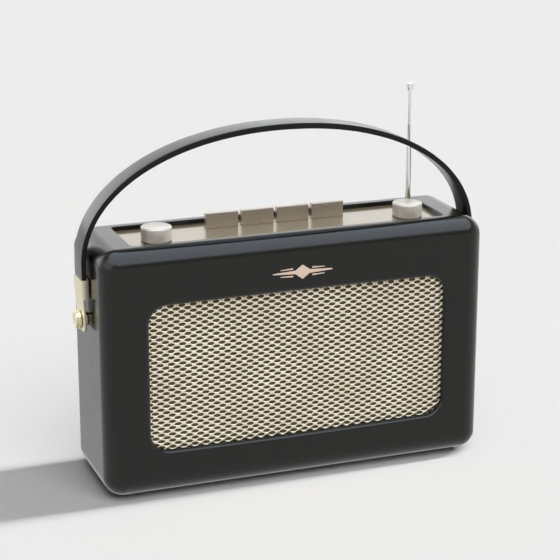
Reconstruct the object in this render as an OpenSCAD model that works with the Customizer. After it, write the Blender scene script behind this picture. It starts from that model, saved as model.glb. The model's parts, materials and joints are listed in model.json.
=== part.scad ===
// Leather-covered portable radio with a strap handle, piano keys and a pull-up aerial.
// X runs to the right seen from the front, Y to the back, Z up; the origin is on the
// table, under the middle of the cabinet. All sizes are in millimetres.

/* [Cabinet] */
// Width of the cabinet
case_w = 250; // [244:1:256]
// Depth of the cabinet
case_d = 80; // [78:1:84]
// Height of the cabinet, without the plinth under it
case_h = 156.2; // [154:0.1:160]
// Thickness of the cabinet's walls
wall = 4; // [3.5:0.1:4.5]
// Radius of the four corners seen from the front
corner_r = 12; // [11:1:14]
// Radius of the rounding along the front and back edges
edge_r = 14; // [13:1:15]
// Height of the plinth and feet under the cabinet
plinth_h = 2; // [1.6:0.1:3]

/* [Grille] */
// Width of the grille opening
grille_w = 194; // [190:1:200]
// Height of the grille opening
grille_h = 93; // [90:1:98]
// Height of the middle of the grille above the table
grille_z = 77.1; // [75:0.1:80]
// Corner radius of the grille opening
grille_r = 11.5; // [8:0.5:14]

/* [Control panel] */
// Width of the opening in the top
panel_w = 205.4; // [204:0.2:207]
// Depth of the opening in the top
panel_d = 45.8; // [45:0.2:47]
// How far the brass plate lies below the top
panel_drop = 2.75; // [2:0.05:3]
// Radius of both knobs
knob_r = 9.45; // [9:0.05:9.6]
// Height of both knobs above the plate
knob_h = 9; // [8:0.1:10]
// Width of one key
key_w = 21.3; // [20.5:0.1:21.8]
// Thickness of one key, front to back
key_t = 3.6; // [3:0.1:4]
// Height of the keys above the plate
key_h = 10; // [8:0.5:11]
// How far a key goes down
key_travel = 3; // [2:0.1:3]

/* [Handle] */
// Width of the strap
strap_w = 17; // [15:0.5:18]
// Height of the handle's pivots above the table
pivot_z = 108.6; // [108:0.1:110]
// Half the strap's span, outside
strap_half = 129.8; // [129.6:0.1:130.4]
// Height of the strap's highest point above the table
strap_top = 221.6; // [219:0.1:224]

/* [Hidden] */

fine = 64;          // facets asked for on every round face
fit_gap = 0.05;     // radial clearance of a shaft that turns or slides in a bore
free_gap = 0.3;     // clearance between pieces that move past each other
through = 1;        // how far a cutting solid runs past the faces it cuts

side_x = case_w / 2;
front_y = -case_d / 2;
rear_y = case_d / 2;
base_z = plinth_h;
top_z = base_z + case_h;
mid_z = base_z + case_h / 2;
inner_top = top_z - wall;

// Top stack: the brass plate lies on the black chassis inside the opening.
plate_z = top_z - panel_drop;
plate_t = plate_z - inner_top;
chassis_t = 3;
chassis_z = inner_top - chassis_t;
volume_x = -82;
tuning_x = 84.5;
knob_y = -6.2;
shaft_r = 3;
shaft_bottom = chassis_z - 7;
shaft_top = plate_z + knob_h - 2.5;
bushing_r = 3.5;
bushing_top = plate_z + 1.9;

key_pitch = 23.5;
key_shift = 0.1;    // how far the row of keys stands right of the middle
key_front = 7.6;
key_y = key_front + key_t / 2;
keys = [0, 1, 2, 3];
key_top = plate_z + key_h;
foot_top = chassis_z - free_gap;
foot_t = 2.4;
board_z = chassis_z - 18.3;
board_t = 1.6;
switch_top = board_z + board_t + 6;
stem_r = 1.4;
stem_bottom = switch_top - 1.2;

// Aerial: two tubes and a rod nested in each other, drawn part-way out.
aerial_x = 95;
aerial_y = 16;
bush_top = plate_z + 1.6;
tube_1_r = 1.8;
tube_2_r = 1.45;
rod_r = 1.05;
tube_1_top = 195.3;
tube_2_top = 210.4;
rod_top = 232;
tip_top = 236.5;
tube_1_len = 92;
tube_2_len = 90;
rod_len = 88;

// Handle: straight legs in the brass fittings, then an arch a little squarer than an ellipse.
leg_top = 144;
bow = 2.1;          // squareness of the arch; 2 makes it an ellipse
strap_t = 3;
strap_top_t = 3.6;
fitting_out = strap_half + 0.6;
fitting_in = side_x + 0.6;
sleeve_bottom = 123.2;
sleeve_top = 135.4;
tongue_in = side_x + 2.6;
tongue_t = 1.8;
tongue_low = 6.2;   // how far the tongue goes below the pivot
tongue_r = 2;
stud_r = 3;
pivot_knob_r = 5.8;
pivot_knob_out = 133;
spacer_r = 4.2;

// Rear panel, battery compartment and loudspeaker.
panel_half_w = 107;
panel_low = 20;
panel_high = 140.2;
rear_t = 3;
rear_out = rear_y - 0.4;
rear_in = rear_out - rear_t;
ledge_t = 3;
ledge_w = 9;
screw_r = 1.38;
screw_hole_r = 1.4;
head_r = 2.6;
speaker_x = -48;
speaker_z = grille_z;
speaker_screw_at = 44.9;
baffle_front = front_y + wall + 1.5;
baffle_t = 3;
baffle_back = baffle_front + baffle_t;
door_left = -22;
door_right = 82;
door_low = 31.7;
door_high = 62;
door_pin_y = 38.3;
door_pin_z = 34;
cell_r = 7.2;
cell_len = 50.5;

// ---- helpers ----

// Flat outline made of boxes and discs, so that its round corners stay true.
module rounded_outline(w, h, r) {
    square([w - 2 * r, h], center = true);
    square([w, h - 2 * r], center = true);
    for (x = [-1, 1], y = [-1, 1])
        translate([x * (w / 2 - r), y * (h / 2 - r)]) circle(r = r, $fn = fine);
}

// A plate standing parallel to the front, from y0 to y1, centred on (x, z).
module upright_plate(x, z, w, h, r, y0, y1) {
    translate([x, y1, z]) rotate([90, 0, 0]) linear_extrude(y1 - y0) rounded_outline(w, h, r);
}

// A plate lying flat, from z0 to z1, centred on (x, y).
module flat_plate(x, y, w, d, r, z0, z1) {
    translate([x, y, z0]) linear_extrude(z1 - z0) rounded_outline(w, d, r);
}

module rod_z(x, y, r, z0, z1) {
    translate([x, y, z0]) cylinder(r = r, h = z1 - z0, $fn = fine);
}

module rod_y(x, z, r, y0, y1) {
    translate([x, y0, z]) rotate([-90, 0, 0]) cylinder(r = r, h = y1 - y0, $fn = fine);
}

module rod_x(y, z, r, x0, x1) {
    translate([x0, y, z]) rotate([0, 90, 0]) cylinder(r = r, h = x1 - x0, $fn = fine);
}

module block(x0, x1, y0, y1, z0, z1) {
    translate([x0, y0, z0]) cube([x1 - x0, y1 - y0, z1 - z0]);
}

// The cabinet's rounded body, pulled in all round by inset. The long edges are quarter
// rounds; each corner seen from the front is a quarter turn of that same profile.
module case_body(inset) {
    r = corner_r - inset;
    e = edge_r - inset;
    x = side_x - corner_r;
    h = case_h / 2 - corner_r;
    w = case_w - 2 * inset;
    d = case_d - 2 * inset;
    translate([0, 0, mid_z]) {
        difference() {
            intersection() {
                translate([-case_w, 0, 0]) rotate([90, 0, 90])
                    linear_extrude(2 * case_w) rounded_outline(d, case_h - 2 * inset, e);
                translate([0, 0, -case_h]) linear_extrude(2 * case_h) rounded_outline(w, d, e);
            }
            for (sx = [-1, 1], sz = [-1, 1])
                translate([sx * (x + corner_r), 0, sz * (h + corner_r)])
                    cube([2 * corner_r, 2 * case_d, 2 * corner_r], center = true);
        }
        for (mx = [0, 1], mz = [0, 1]) mirror([mx, 0, 0]) mirror([0, 0, mz])
            translate([x, 0, h]) rotate([90, 0, 0]) rotate_extrude(angle = 90, $fn = fine)
                intersection() {
                    translate([r - case_d, 0]) rounded_outline(2 * case_d, d, e);
                    translate([0, -case_d]) square([corner_r, 2 * case_d]);
                }
    }
}

// Places its children at the four corners of a rectangle in the front plane.
module at_corners_xz(x, z_low, z_high) {
    for (sx = [-1, 1], z = [z_low, z_high]) translate([sx * x, 0, z]) children();
}

// ---- cabinet ----

ledge_x = panel_half_w - ledge_w;
ledge_z = [panel_low + ledge_w, panel_high - ledge_w];
rear_screw_x = panel_half_w - 4.5;
rear_screw_z = [panel_low + 4.5, panel_high - 4.5];
baffle_screw_x = 103.4;
baffle_screw_z = [24.4, grille_z * 2 - 24.4];
chassis_screw = [107.5, 18];
base_screw = [92, 22];

module cabinet_shell() {
    color([0.10, 0.10, 0.10]) difference() {
        case_body(0);
        difference() {
            case_body(wall);
            // a ledge stays inside the back for the rear panel to rest on
            block(-side_x, side_x, rear_in - ledge_t, rear_y, base_z, top_z);
            at_corners_xz(baffle_screw_x, baffle_screw_z[0], baffle_screw_z[1])
                rod_y(0, 0, 3, front_y, baffle_front);
        }
        upright_plate(0, grille_z, grille_w, grille_h, grille_r, front_y - through, front_y + 2 * wall);
        flat_plate(0, 0, panel_w, panel_d, 3, inner_top - through, top_z + through);
        upright_plate(0, (panel_low + panel_high) / 2, 2 * ledge_x, ledge_z[1] - ledge_z[0], 4,
            rear_in - ledge_t - through, rear_y + through);
        upright_plate(0, (panel_low + panel_high) / 2, 2 * panel_half_w + 0.6,
            panel_high - panel_low + 0.6, 6.3, rear_in, rear_y + through);
        at_corners_xz(rear_screw_x, rear_screw_z[0], rear_screw_z[1])
            rod_y(0, 0, screw_hole_r, rear_in - ledge_t - through, rear_y + through);
        at_corners_xz(baffle_screw_x, baffle_screw_z[0], baffle_screw_z[1])
            rod_y(0, 0, screw_hole_r, front_y + 1.8, front_y + wall + 4);
        for (sx = [-1, 1], sy = [-1, 1]) {
            rod_z(sx * chassis_screw[0], sy * chassis_screw[1], screw_hole_r, inner_top - through,
                top_z - 1.4);
            rod_z(sx * base_screw[0], sy * base_screw[1], screw_hole_r, base_z - through, base_z + wall
                + through);
        }
        rod_x(0, pivot_z, 3.5, -side_x - through, -side_x + wall + through);
        rod_x(0, pivot_z, 3.5, side_x - wall - through, side_x + through);
    }
}

module base_plate() {
    color([0.05, 0.05, 0.05]) difference() {
        flat_plate(0, 0, 226, 56, 10, 0.4, base_z);
        for (sx = [-1, 1], sy = [-1, 1]) {
            rod_z(sx * 104, sy * 19, 7.1, -through, base_z - 0.5);
            rod_z(sx * base_screw[0], sy * base_screw[1], 1.6, -through, base_z + through);
            rod_z(sx * base_screw[0], sy * base_screw[1], 2.9, -through, 1.1);
        }
    }
}

module base_screws() {
    color([0.55, 0.55, 0.55]) for (sx = [-1, 1], sy = [-1, 1]) {
        rod_z(sx * base_screw[0], sy * base_screw[1], head_r, 0.5, 1.1);
        rod_z(sx * base_screw[0], sy * base_screw[1], screw_r, 1.0, base_z + wall + 0.5);
    }
}

module feet() {
    color([0.08, 0.08, 0.08]) for (sx = [-1, 1], sy = [-1, 1])
        rod_z(sx * 104, sy * 19, 7, 0, base_z - 0.5);
}

// ---- front ----

module grille_mesh() {
    color([0.80, 0.75, 0.62])
        upright_plate(0, grille_z, grille_w + 5, grille_h + 5, grille_r, front_y + wall, front_y + wall
            + 1.2);
}

module baffle_board() {
    color([0.12, 0.11, 0.10]) difference() {
        upright_plate(0, grille_z, 214, 112, 4, baffle_front, baffle_back);
        rod_y(speaker_x, speaker_z, 40.5, baffle_front - through, baffle_back + through);
        at_corners_xz(baffle_screw_x, baffle_screw_z[0], baffle_screw_z[1])
            rod_y(0, 0, 1.6, baffle_front - through, baffle_back + through);
        for (a = [45:90:315])
            translate([speaker_x + speaker_screw_at * cos(a), 0, speaker_z + speaker_screw_at * sin(a)])
                rod_y(0, 0, screw_hole_r, baffle_front - through, baffle_back + through);
    }
}

module baffle_screws() {
    color([0.55, 0.55, 0.55])
        at_corners_xz(baffle_screw_x, baffle_screw_z[0], baffle_screw_z[1]) {
            rod_y(0, 0, head_r, baffle_back, baffle_back + 1.6);
            rod_y(0, 0, screw_r, front_y + 2, baffle_back + 0.5);
        }
}

emblem_z = 136.6;

// A plain lozenge between two tapering bars.
module emblem() {
    color([0.80, 0.62, 0.50]) translate([0, front_y, emblem_z]) rotate([90, 0, 0])
        linear_extrude(0.9) {
            polygon([[0, 4.6], [6.4, 0], [0, -4.6], [-6.4, 0]]);
            for (s = [-1, 1]) {
                polygon([[s * 4.5, 1.2], [s * 19.5, 0.35], [s * 19.5, -0.35], [s * 4.5, -1.2]]);
                polygon([[s * 6.2, 2.9], [s * 14.5, 2.3], [s * 14.5, 1.8], [s * 6.2, 1.9]]);
                polygon([[s * 6.2, -2.9], [s * 14.5, -2.3], [s * 14.5, -1.8], [s * 6.2, -1.9]]);
            }
        }
}

// ---- control panel ----

module key_slots(z0, z1, gap) {
    for (i = keys)
        block(key_x(i) - key_w / 2 - gap, key_x(i) + key_w / 2 + gap,
            key_y - key_t / 2 - gap, key_y + key_t / 2 + gap, z0, z1);
}

function key_x(i) = key_shift + (i - 1.5) * key_pitch;
board_posts = [[-56, 2], [56, 2], [-56, 18], [56, 18]];

module control_chassis() {
    color([0.08, 0.08, 0.08]) difference() {
        union() {
            flat_plate(0, 0, 224, 52, 4, chassis_z, inner_top);
            for (p = board_posts) rod_z(p[0], p[1], 2.5, board_z + board_t, chassis_z + 1);
        }
        for (x = [volume_x, tuning_x])
            rod_z(x, knob_y, bushing_r, chassis_z - through, inner_top + through);
        rod_z(aerial_x, aerial_y, 3.4, chassis_z - through, inner_top + through);
        key_slots(chassis_z - through, inner_top + through, free_gap);
        for (sx = [-1, 1], sy = [-1, 1])
            rod_z(sx * chassis_screw[0], sy * chassis_screw[1], 1.6, chassis_z - through, inner_top +
                through);
    }
}

module chassis_screws() {
    color([0.55, 0.55, 0.55]) for (sx = [-1, 1], sy = [-1, 1]) {
        rod_z(sx * chassis_screw[0], sy * chassis_screw[1], head_r, chassis_z - 1.6, chassis_z);
        rod_z(sx * chassis_screw[0], sy * chassis_screw[1], screw_r, chassis_z - 0.5, top_z - 1.6);
    }
}

module control_plate() {
    color([0.83, 0.74, 0.55]) difference() {
        flat_plate(0, 0, panel_w - 0.4, panel_d - 0.4, 2.8, inner_top, plate_z);
        for (x = [volume_x, tuning_x])
            rod_z(x, knob_y, bushing_r, inner_top - through, plate_z + through);
        rod_z(aerial_x, aerial_y, 3.4, inner_top - through, plate_z + through);
        key_slots(inner_top - through, plate_z + through, free_gap);
    }
}

// A knob with a rounded top edge, hollow underneath for the nut.
module knob(x) {
    edge = 1.1;
    low = plate_z + free_gap;
    high = plate_z + knob_h;
    translate([x, knob_y, 0]) difference() {
        rotate_extrude($fn = fine) union() {
            translate([0, low]) square([knob_r, high - low - edge]);
            translate([0, low]) square([knob_r - edge, high - low]);
            translate([knob_r - edge, high - edge]) circle(r = edge, $fn = fine);
        }
        translate([0, 0, low - through]) cylinder(r = 7.6, h = 2.6 + through, $fn = fine);
        translate([0, 0, low]) cylinder(r = shaft_r, h = shaft_top - low, $fn = fine);
    }
}

module shaft(x) {
    rod_z(x, knob_y, shaft_r, shaft_bottom, shaft_top);
}

// Body of a rotary control with its threaded bushing.
module rotary_control(x) {
    difference() {
        union() {
            rod_z(x, knob_y, 8.5, chassis_z - 8, chassis_z);
            rod_z(x, knob_y, bushing_r, chassis_z - 1, bushing_top);
            block(x - 6, x + 6, knob_y - 13, knob_y - 6, chassis_z - 6, chassis_z - 4.8);
        }
        rod_z(x, knob_y, shaft_r + fit_gap, shaft_bottom - 0.5, bushing_top + through);
    }
}

module volume_knob() { color([0.90, 0.88, 0.84]) knob(volume_x); }

module volume_shaft() { color([0.6, 0.6, 0.6]) shaft(volume_x); }

module volume_control() { color([0.35, 0.37, 0.40]) rotary_control(volume_x); }

module tuning_knob() { color([0.90, 0.88, 0.84]) knob(tuning_x); }

module tuning_shaft() { color([0.6, 0.6, 0.6]) shaft(tuning_x); }

module tuning_control() { color([0.35, 0.37, 0.40]) rotary_control(tuning_x); }

module control_nuts() {
    color([0.75, 0.75, 0.72]) for (x = [volume_x, tuning_x])
        translate([x, knob_y, plate_z]) difference() {
            cylinder(r = 5.7, h = 1.8, $fn = 6);
            translate([0, 0, -through]) cylinder(r = bushing_r, h = 4, $fn = fine);
        }
}

// A key: the blade above the plate, the foot that stops it under the chassis, and the
// stem that works the switch.
module key(i) {
    x = key_x(i);
    bevel = 0.5;
    color([0.62, 0.57, 0.50]) {
        translate([x - key_w / 2, key_y, 0]) rotate([90, 0, 90]) linear_extrude(key_w)
            polygon([[-key_t / 2, foot_top - 1], [-key_t / 2, key_top - bevel],
                [-key_t / 2 + bevel, key_top], [key_t / 2 - bevel, key_top],
                [key_t / 2, key_top - bevel], [key_t / 2, foot_top - 1]]);
        block(x - key_w / 2, x + key_w / 2, key_y - 3.6, key_y + 3.6, foot_top - foot_t, foot_top);
        rod_z(x, key_y, stem_r, stem_bottom, foot_top - foot_t + 0.5);
    }
}

module key_1() { key(0); }

module key_2() { key(1); }

module key_3() { key(2); }

module key_4() { key(3); }

// Coil spring between a switch and its key's foot.
module key_spring(i) {
    wire = 0.35;
    low = switch_top;
    high = foot_top - foot_t;
    color([0.7, 0.7, 0.7]) translate([key_x(i), key_y, low])
        linear_extrude(high - low, twist = -360 * 4, slices = 48)
            translate([2.9, 0]) circle(r = wire, $fn = 6);
}

module key_spring_1() { key_spring(0); }

module key_spring_2() { key_spring(1); }

module key_spring_3() { key_spring(2); }

module key_spring_4() { key_spring(3); }

module key_switch_board() {
    color([0.55, 0.40, 0.20]) difference() {
        flat_plate(0, 10, 122, 24, 2, board_z, board_z + board_t);
        for (p = board_posts) rod_z(p[0], p[1], 1.2, board_z - through, board_z + 3);
    }
}

module key_switches() {
    color([0.2, 0.2, 0.22]) for (i = keys) difference() {
        block(key_x(i) - 4, key_x(i) + 4, key_y - 4, key_y + 4, board_z + board_t, switch_top);
        rod_z(key_x(i), key_y, stem_r + free_gap, switch_top - 5, switch_top + through);
    }
}

// ---- aerial ----

module aerial_tube(r, bore, top, len) {
    difference() {
        rod_z(aerial_x, aerial_y, r, top - len, top);
        rod_z(aerial_x, aerial_y, bore, top - len - through, top + through);
    }
}

module aerial_bush() {
    color([0.75, 0.70, 0.60]) difference() {
        union() {
            rod_z(aerial_x, aerial_y, 3.4, chassis_z - 6, plate_z);
            rod_z(aerial_x, aerial_y, 4.2, plate_z, bush_top);
            rod_z(aerial_x, aerial_y, 4.6, chassis_z - 2.2, chassis_z);
        }
        rod_z(aerial_x, aerial_y, tube_1_r + fit_gap, chassis_z - 7, bush_top + through);
    }
}

module aerial_tube_1() {
    color([0.8, 0.8, 0.8]) aerial_tube(tube_1_r, tube_2_r + fit_gap, tube_1_top, tube_1_len);
}

module aerial_tube_2() {
    color([0.8, 0.8, 0.8]) aerial_tube(tube_2_r, rod_r + fit_gap, tube_2_top, tube_2_len);
}

module aerial_rod() {
    color([0.8, 0.8, 0.8]) rod_z(aerial_x, aerial_y, rod_r, rod_top - rod_len, rod_top + 2);
}

module aerial_tip() {
    color([0.8, 0.8, 0.8]) difference() {
        union() {
            rod_z(aerial_x, aerial_y, 2, rod_top, rod_top + 2);
            rod_z(aerial_x, aerial_y, 2.5, rod_top + 1.8, tip_top - 0.3);
            rod_z(aerial_x, aerial_y, 2.2, rod_top, tip_top);
        }
        rod_z(aerial_x, aerial_y, rod_r, rod_top - through, rod_top + 2);
    }
}

// ---- handle ----

// Points over the arch, from the right end to the left.
function rounded(v) = sign(v) * pow(abs(v), 2 / bow);
function arch(half, top) =
    [for (a = [0:3:180]) [half * rounded(cos(a)), leg_top + (top - leg_top) * rounded(sin(a))]];

module handle_strap() {
    outer = arch(strap_half, strap_top);
    inner = arch(strap_half - strap_t, strap_top - strap_top_t);
    leg_bottom = sleeve_bottom + 1.4;
    outline = concat([[strap_half, leg_bottom]], outer, [[-strap_half, leg_bottom]],
        [[-strap_half + strap_t, leg_bottom]], [for (i = [len(inner) - 1:-1:0]) inner[i]],
        [[strap_half - strap_t, leg_bottom]]);
    color([0.12, 0.12, 0.12])
        translate([0, strap_w / 2, 0]) rotate([90, 0, 0]) linear_extrude(strap_w) polygon(outline);
}

// Brass end fitting: a sleeve round the strap's end and a tongue down to the pivot.
module handle_fitting(side) {
    sleeve_w = strap_w + 1.2;
    mid_x = (fitting_in + fitting_out) / 2;
    difference() {
        mirror([side < 0 ? 1 : 0, 0, 0]) union() {
            block(fitting_in, fitting_out, -sleeve_w / 2, sleeve_w / 2, sleeve_bottom, sleeve_top);
            block(tongue_in, tongue_in + tongue_t, -strap_w / 2, strap_w / 2,
                pivot_z - tongue_low + tongue_r, sleeve_bottom + 4);
            block(tongue_in, tongue_in + tongue_t, -strap_w / 2 + tongue_r, strap_w / 2 - tongue_r,
                pivot_z - tongue_low, pivot_z);
            for (y = [-1, 1]) rod_x(y * (strap_w / 2 - tongue_r), pivot_z - tongue_low + tongue_r,
                tongue_r, tongue_in, tongue_in + tongue_t);
        }
        mirror([side < 0 ? 1 : 0, 0, 0]) {
            block(strap_half - strap_t, strap_half, -strap_w / 2, strap_w / 2,
                sleeve_bottom + 1.4, sleeve_top + through);
            rod_x(0, pivot_z, stud_r + fit_gap, side_x, fitting_out + through);
        }
    }
}

module handle_fitting_left() { color([0.83, 0.72, 0.50]) handle_fitting(-1); }

module handle_fitting_right() { color([0.83, 0.72, 0.50]) handle_fitting(1); }

// Shoulder screws with a round head; the handle turns on their shoulders.
module pivot_studs() {
    collar = tongue_in + tongue_t + 0.3;
    color([0.85, 0.75, 0.52]) for (side = [0, 1]) mirror([side, 0, 0]) {
        rod_x(0, pivot_z, pivot_knob_r, collar, pivot_knob_out - 0.6);
        rod_x(0, pivot_z, pivot_knob_r - 0.6, pivot_knob_out - 0.7, pivot_knob_out);
        rod_x(0, pivot_z, stud_r, side_x, collar + 0.5);
        rod_x(0, pivot_z, 1.9, side_x - 5, side_x + 0.5);
    }
}

module pivot_washers() {
    color([0.75, 0.66, 0.46]) for (side = [0, 1]) mirror([side, 0, 0]) difference() {
        rod_x(0, pivot_z, spacer_r, side_x, tongue_in - free_gap);
        rod_x(0, pivot_z, stud_r, side_x - through, tongue_in);
    }
}

module pivot_inserts() {
    color([0.75, 0.66, 0.46]) for (side = [0, 1]) mirror([side, 0, 0]) difference() {
        union() {
            rod_x(0, pivot_z, 3.5, side_x - wall, side_x);
            rod_x(0, pivot_z, 6, side_x - wall - 1.6, side_x - wall);
        }
        rod_x(0, pivot_z, 1.9, side_x - wall - 3, side_x + through);
    }
}

// ---- loudspeaker ----

basket_back = baffle_back + 22;
cone_front = baffle_back + 1;
cone_back = baffle_back + 14;
cone_r = 36;
coil_r = 8.5;

// A ring of revolution about the loudspeaker's axis, from an outline of [radius, y] points.
module speaker_ring(points) {
    translate([speaker_x, 0, speaker_z]) rotate([-90, 0, 0]) rotate_extrude($fn = fine) polygon(points);
}

module speaker_basket() {
    color([0.25, 0.25, 0.27]) difference() {
        speaker_ring([[40.5, baffle_back], [47, baffle_back], [47, baffle_back + 1.5],
            [42.5, baffle_back + 1.5], [24, basket_back], [9.5, basket_back],
            [9.5, basket_back - 1.5], [23.2, basket_back - 1.5], [40.5, baffle_back + 1.5]]);
        for (a = [0:60:300]) translate([speaker_x, 0, speaker_z]) rotate([0, a, 0])
            block(26, 37, baffle_back + 6, basket_back - through, -6, 6);
        for (a = [45:90:315])
            rod_y(speaker_x + speaker_screw_at * cos(a), speaker_z + speaker_screw_at * sin(a), 1.6,
                baffle_back - through, baffle_back + 3);
    }
}

module speaker_magnet() {
    color([0.2, 0.2, 0.2]) {
        speaker_ring([[9.5, basket_back], [22, basket_back], [22, basket_back + 12], [0, basket_back +
            12],
            [0, basket_back + 9], [9.5, basket_back + 9]]);
        speaker_ring([[0, cone_back + 2.5], [7.3, cone_back + 2.5], [7.3, basket_back + 9.5], [0,
            basket_back + 9.5]]);
    }
}

// Paper cone with its dust cap and the coil former behind it.
module speaker_cone() {
    color([0.15, 0.14, 0.13]) {
        speaker_ring([[cone_r, cone_front], [cone_r, cone_front + 0.8], [coil_r + 0.4, cone_back],
            [coil_r + 0.4, basket_back + 4], [coil_r - 0.4, basket_back + 4], [coil_r - 0.4, cone_back
                - 0.8]]);
        speaker_ring([[0, cone_back - 6], [6, cone_back - 5], [12, cone_back - 2], [12, cone_back - 1.2],
            [6, cone_back - 4.2], [0, cone_back - 5.2]]);
    }
}

module speaker_surround() {
    color([0.1, 0.1, 0.1]) speaker_ring([[cone_r + 0.05, cone_front], [38, cone_front - 1.4], [40.4,
        cone_front - 0.4],
        [40.4, cone_front + 0.4], [38, cone_front - 0.6], [cone_r + 0.05, cone_front + 0.8]]);
}

module speaker_screws() {
    color([0.55, 0.55, 0.55]) for (a = [45:90:315])
        translate([speaker_x + speaker_screw_at * cos(a), 0, speaker_z + speaker_screw_at * sin(a)]) {
            rod_y(0, 0, 1.95, baffle_back + 1.5, baffle_back + 2.9);
            rod_y(0, 0, screw_r, baffle_front + 0.2, baffle_back + 2);
        }
}

// ---- circuit ----

board_y = -14;
board_holes = [[14, 76], [82, 76], [14, 126], [82, 126]];

module main_board() {
    color([0.55, 0.40, 0.20]) difference() {
        block(8, 88, board_y, board_y + 1.6, 70, 132);
        for (p = board_holes) rod_y(p[0], p[1], screw_hole_r, board_y - through, board_y + 3);
    }
}

module board_standoffs() {
    color([0.75, 0.66, 0.46]) for (p = board_holes) {
        rod_y(p[0], p[1], 2.8, baffle_back, board_y);
        rod_y(p[0], p[1], screw_r, board_y - 1, board_y + 3.2);
    }
}

module tuner_can() {
    color([0.72, 0.73, 0.75]) {
        block(22, 52, board_y + 1.6, board_y + 13, 98, 122);
        for (x = [62, 72]) block(x, x + 7, board_y + 1.6, board_y + 12, 108, 115);
    }
}

module capacitors() {
    color([0.15, 0.2, 0.3]) for (p = [[26, 84, 5], [40, 84, 5], [54, 82, 4], [66, 90, 6.3], [70, 78, 3]])
        rod_y(p[0], p[1], p[2], board_y + 1.6, board_y + 1.6 + 2.2 * p[2]);
}

ferrite_y = 27;
ferrite_z = 142;

module ferrite_rod() { color([0.22, 0.22, 0.22]) rod_x(ferrite_y, ferrite_z, 4.5, -95, 45); }

module ferrite_coil() {
    color([0.70, 0.45, 0.25]) difference() {
        rod_x(ferrite_y, ferrite_z, 6, -72, -36);
        rod_x(ferrite_y, ferrite_z, 4.5, -73, -35);
    }
}

module ferrite_brackets() {
    color([0.85, 0.85, 0.80]) for (x = [-90, 34]) difference() {
        block(x, x + 5, ferrite_y - 7, ferrite_y - 1, ferrite_z - 6, chassis_z);
        rod_x(ferrite_y, ferrite_z, 4.5, x - 1, x + 6);
    }
}

// ---- back ----

module rear_panel() {
    color([0.09, 0.09, 0.09]) difference() {
        upright_plate(0, (panel_low + panel_high) / 2, 2 * panel_half_w, panel_high - panel_low, 6,
            rear_in, rear_out);
        at_corners_xz(rear_screw_x, rear_screw_z[0], rear_screw_z[1])
            rod_y(0, 0, 1.6, rear_in - through, rear_y);
        at_corners_xz(rear_screw_x, rear_screw_z[0], rear_screw_z[1])
            rod_y(0, 0, 2.9, rear_out - 1.6, rear_y);
        block(door_left, door_right, rear_in - through, rear_y, door_low, door_high);
        rod_x(door_pin_y, door_pin_z, 1, door_left - 2, door_right + 2);
        rod_y(headphone_x, socket_z, 3.5, rear_in - through, rear_y);
        rod_y(dc_x, socket_z, 5, rear_in - through, rear_y);
        for (i = [0:11])
            upright_plate(speaker_x, speaker_z + 14 + (i - 5.5) * 4, 52, 1.6, 0.75, rear_in - through,
                rear_y);
    }
}

module rear_panel_screws() {
    color([0.3, 0.3, 0.3]) at_corners_xz(rear_screw_x, rear_screw_z[0], rear_screw_z[1]) {
        rod_y(0, 0, head_r, rear_out - 1.6, rear_out - 0.1);
        rod_y(0, 0, screw_r, rear_in - ledge_t - 2, rear_out - 1);
    }
}

box_left = door_left - 2;
box_right = door_right + 2;
box_front = 17.4;
box_low = door_low - 1.5;
box_high = door_high + 1.5;

module battery_box() {
    color([0.07, 0.07, 0.07]) difference() {
        block(box_left, box_right, box_front, rear_in, box_low, box_high);
        block(box_left + 1.6, box_right - 1.6, box_front + 1.6, rear_in + through, box_low + 1.6,
            box_high - 1.6);
    }
}

cell_x = (door_left + door_right) / 2;
cell_y = box_front + 1.6 + cell_r + 0.4;
cell_z = [(door_low + door_high) / 2 - cell_r - 0.2, (door_low + door_high) / 2 + cell_r + 0.2];

module battery_cells() {
    color([0.45, 0.30, 0.15]) for (z = cell_z, s = [-1, 1]) {
        low = cell_x + (s < 0 ? -cell_len - 0.2 : 0.2);
        rod_x(cell_y, z, cell_r, low, low + cell_len - 1.2);
        rod_x(cell_y, z, 2.7, low + cell_len - 1.3, low + cell_len);
    }
}

module battery_contacts() {
    color([0.80, 0.80, 0.78]) for (x = [box_left + 1.6, box_right - 1.6 - 0.5])
        block(x, x + 0.5, cell_y - 5, cell_y + 5, cell_z[0] - 5, cell_z[1] + 5);
}

door_face = door_pin_y - 0.4;

module battery_door() {
    color([0.09, 0.09, 0.09]) difference() {
        union() {
            block(door_left + 0.4, door_right - 0.4, door_face - 1.2, door_face + 1.2, door_pin_z,
                door_high - 0.4);
            rod_x(door_pin_y, door_pin_z, 1.7, door_left + 0.4, door_right - 0.4);
        }
        rod_x(door_pin_y, door_pin_z, 1 + fit_gap, door_left - 1, door_right + 1);
        upright_plate(cell_x, door_high - 4, 16, 1.8, 0.85, door_face + 0.4, rear_y + 1);
    }
}

module door_pin() { color([0.7, 0.7, 0.7]) rod_x(door_pin_y, door_pin_z, 1, door_left - 1.8, door_right
    + 1.8); }

headphone_x = -64;
dc_x = -84;
socket_z = 44;
collar_out = rear_y + 0.9;
jack_r = 1.8;
jack_depth = 15;

module headphone_socket() {
    color([0.12, 0.12, 0.12]) difference() {
        union() {
            rod_y(headphone_x, socket_z, 3.4, rear_in, collar_out);
            rod_y(headphone_x, socket_z, 4.8, rear_out, collar_out);
            block(headphone_x - 5, headphone_x + 5, rear_in - 13, rear_in, socket_z - 4, socket_z + 4);
        }
        rod_y(headphone_x, socket_z, jack_r, collar_out - jack_depth, collar_out + through);
    }
}

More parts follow.
